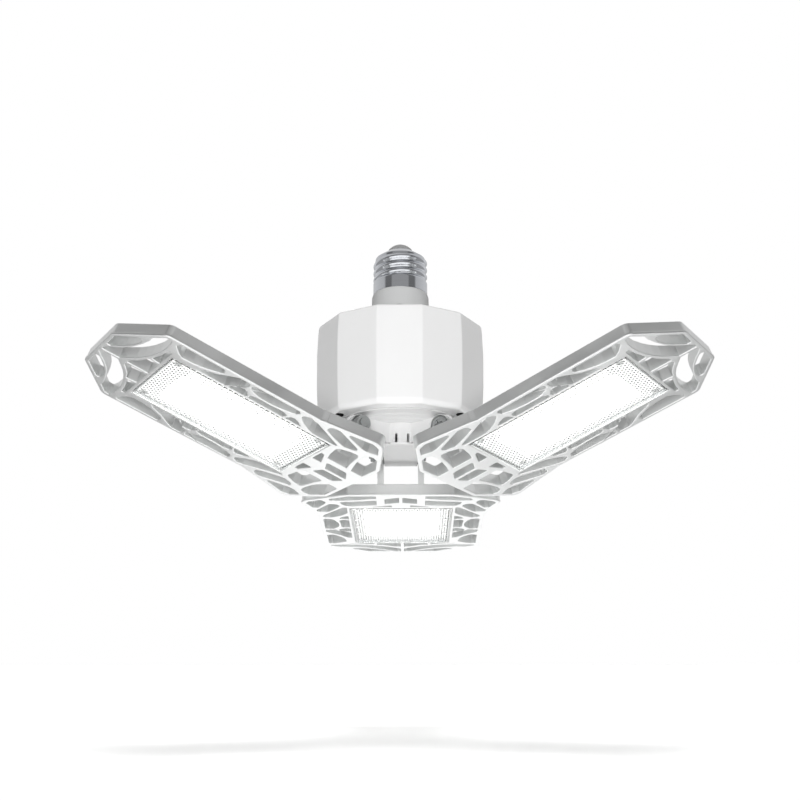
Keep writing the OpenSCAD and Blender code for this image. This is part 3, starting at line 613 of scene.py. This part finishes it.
# The paper is clear from below, and for the light that comes from there
open_to = compute(
    paper_tree, "MAXIMUM", geometry.outputs["Backfacing"], rays.outputs["Is Shadow Ray"])
paper_tree.links.new(open_to, one_sided.inputs["Fac"])
paper_tree.links.new(both.outputs["Shader"], one_sided.inputs[1])
paper_tree.links.new(clear.outputs["BSDF"], one_sided.inputs[2])
paper_tree.links.new(one_sided.outputs["Shader"], paper_tree.nodes["Material Output"].inputs["Surface"])
floor_data.materials.append(paper)

world = bpy.data.worlds.new("studio")
world.use_nodes = True
scene.world = world
world_tree = world.node_tree
ambient = world_tree.nodes["Background"]
ambient.inputs["Color"].default_value = (1, 1, 1, 1)
ambient.inputs["Strength"].default_value = AMBIENT
white = add(world_tree, "Background", {"Color": (1, 1, 1, 1), "Strength": 1})
which = add(world_tree, "MixShader")
world_tree.links.new(seen(world_tree), which.inputs["Fac"])
world_tree.links.new(ambient.outputs["Background"], which.inputs[1])
world_tree.links.new(white.outputs["Background"], which.inputs[2])
world_tree.links.new(which.outputs["Shader"], world_tree.nodes["World Output"].inputs["Surface"])


def place_light(name, data, location, direction):
    """A light that shines in a direction and shows in no reflection: there the cards do."""
    made = bpy.data.objects.new(name, data)
    made.location = location
    made.rotation_euler = direction.to_track_quat("-Z", "Y").to_euler()
    made.visible_camera = False
    made.visible_glossy = False
    scene.collection.objects.link(made)


# Lights from far away: degrees from the front to the right, degrees up, strength, spread in degrees
for name, azimuth, elevation, strength, spread in (
    ("front", 0, -10, 0.88, 30),
    ("above", 12, 82, 0.38, 16),
    ("back", 180, 45, 0.25, 60),
):
    light = bpy.data.lights.new(name, "SUN")
    light.energy = strength * math.pi
    light.angle = math.radians(spread)
    a, e = math.radians(azimuth), math.radians(elevation)
    away = Vector((math.sin(a) * math.cos(e), -math.cos(a) * math.cos(e), math.sin(e)))
    place_light(name, light, away, -away)

# A small lamp under the object lights what faces down, as the pale floor would
LAMP_SIZE = 0.1
LAMP_WATTS = 0.3
LAMP_Z = -0.33

lamp = bpy.data.lights.new("below", "AREA")
lamp.shape = "DISK"
lamp.size = LAMP_SIZE
lamp.energy = LAMP_WATTS
place_light("below", lamp, (0, 0, LAMP_Z), Vector((0, 0, 1)))

# Cards that only reflections show: a ring of grey bands, a roof, and a ground behind the middle
RING_R = 0.3
RING_LOW, RING_HIGH = -0.2, 0.35
RING_STEP = 5
# Pairs of degrees from the front, the same to both sides, and a tone; the splits are the rows' bounds
BANDS_LOW = ((0, 1.4), (43, 1.4), (46, 0.12), (60, 0.2), (74, 0.3), (140, 0.36), (155, 1.15))
BANDS_MIDDLE = ((0, 0.62), (8, 0.57), (22, 0.22), (75, 0.22), (98, 0.56), (122, 0.81), (150, 0.5))
BANDS_HIGH = ((0, 0.32), (33, 0.32), (38, 0.16), (62, 0.16), (70, 0.48), (120, 0.6), (180, 0.6))
SPLITS = (-0.04, 0.07)
SPLIT_H = 0.03
GROUND_Z = -0.18
GROUND_X, GROUND_NEAR, GROUND_FAR = 0.3, 0.03, 0.25
# Pairs of X and a tone
GROUND_TONES = (
    (-0.3, 0.45), (-0.17, 0.5), (-0.09, 1.1), (0.03, 1.1), (0.09, 0.75), (0.17, 0.62), (0.3, 0.55))


def card_material(name):
    """A material of emission alone, with its tree, the place of each point and the colour's socket."""
    material = bpy.data.materials.new(name)
    material.use_nodes = True
    tree = material.node_tree
    tree.nodes.remove(shader_of(material))
    coords = add(tree, "TexCoord")
    place = add(tree, "SeparateXYZ")
    tree.links.new(coords.outputs["Object"], place.inputs["Vector"])
    shine = add(tree, "Emission")
    tree.links.new(shine.outputs["Emission"], tree.nodes["Material Output"].inputs["Surface"])
    return material, tree, place, shine.inputs["Color"]


def toned(tree, value, stops):
    """Greys that follow a value, from pairs of a value and its tone."""
    least, most = stops[0][0], stops[-1][0]
    ramp = add(tree, "ValToRGB")
    elements = ramp.color_ramp.elements
    while len(elements) < len(stops):
        elements.new(1)
    for element, (at, tone) in zip(elements, stops):
        element.position = (at - least) / (most - least)
        element.color = (tone, tone, tone, 1)
    tree.links.new(ranged(tree, value, (least, most), (0, 1)), ramp.inputs["Fac"])
    return ramp.outputs["Color"]


def banded():
    """Grey bands by the angle from the front, in three rows one above the other."""
    material, tree, place, colour = card_material("ring_bands")
    forward = compute(tree, "MULTIPLY", place.outputs["Y"], -1)
    angle = compute(tree, "ABSOLUTE", compute(tree, "ARCTAN2", place.outputs["X"], forward))
    colours = None
    for bands, split in zip((BANDS_LOW, BANDS_MIDDLE, BANDS_HIGH), (None, *SPLITS)):
        row = toned(tree, angle, [(math.radians(degrees), tone) for degrees, tone in bands])
        if colours:
            mix = add(tree, "MixRGB")
            step = ranged(tree, place.outputs["Z"], (split - SPLIT_H, split + SPLIT_H), (0, 1))
            tree.links.new(step, mix.inputs["Fac"])
            tree.links.new(colours, mix.inputs["Color1"])
            tree.links.new(row, mix.inputs["Color2"])
            row = mix.outputs["Color"]
        colours = row
    tree.links.new(colours, colour)
    return material


def shaded_ground():
    """Bright in the middle and darker towards both sides."""
    material, tree, place, colour = card_material("ground_tones")
    tree.links.new(toned(tree, place.outputs["X"], GROUND_TONES), colour)
    return material


def card(name, material, points, faces):
    """A mesh that glows in reflections and nowhere else."""
    data = bpy.data.meshes.new(name)
    data.from_pydata(points, [], faces)
    data.materials.append(material)
    made = bpy.data.objects.new(name, data)
    made.visible_camera = False
    made.visible_diffuse = False
    made.visible_transmission = False
    made.visible_shadow = False
    scene.collection.objects.link(made)


angles = [math.radians(degrees) for degrees in range(0, 360, RING_STEP)]
corners = [(RING_R * math.sin(a), -RING_R * math.cos(a)) for a in angles]
bands = banded()
card("ring", bands,
    [(x, y, z) for x, y in corners for z in (RING_LOW, RING_HIGH)],
    [[(2 * i + k) % (2 * len(corners)) for k in (0, 2, 3, 1)] for i in range(len(corners))])
card("roof", bands, [(x, y, RING_HIGH) for x, y in corners], [range(len(corners))])
card("ground", shaded_ground(),
    [(x * GROUND_X, y, GROUND_Z) for x, y in (
        (-1, GROUND_NEAR), (1, GROUND_NEAR), (1, GROUND_FAR), (-1, GROUND_FAR))], [range(4)])

scene.view_settings.view_transform = "Standard"
